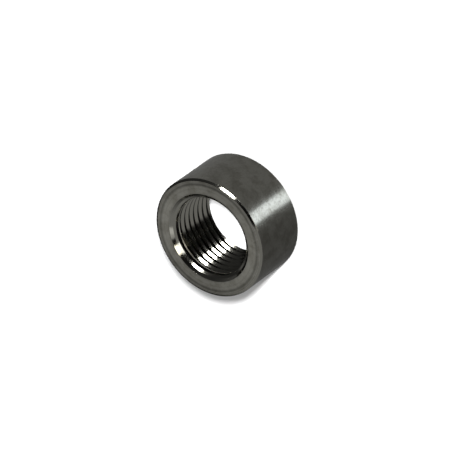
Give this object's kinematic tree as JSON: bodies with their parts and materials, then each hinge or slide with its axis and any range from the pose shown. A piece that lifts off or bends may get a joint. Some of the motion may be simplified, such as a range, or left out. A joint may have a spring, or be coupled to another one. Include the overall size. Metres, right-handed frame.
{
  "type": "weld-on bung",
  "caption": "Short turned steel ring with a fine-pitch tapped bore and a lead-in cone at each face, to be welded round a hole in a pipe so that a sensor or plug can screw in.",
  "frame": {"origin": "middle of the lower face, the one that is welded to the pipe", "axes": "+Z along the bore axis, out of the upper face where the sensor screws in; X and Y have no preferred direction"},
  "size_m": [0.0254, 0.0254, 0.0127],
  "materials": {
    "turned_steel": "bare turned steel, satin, with fine concentric tool marks"
  },
  "bodies": {
    "root": {"weld_bung": "turned_steel"}
  },
  "joints": []
}
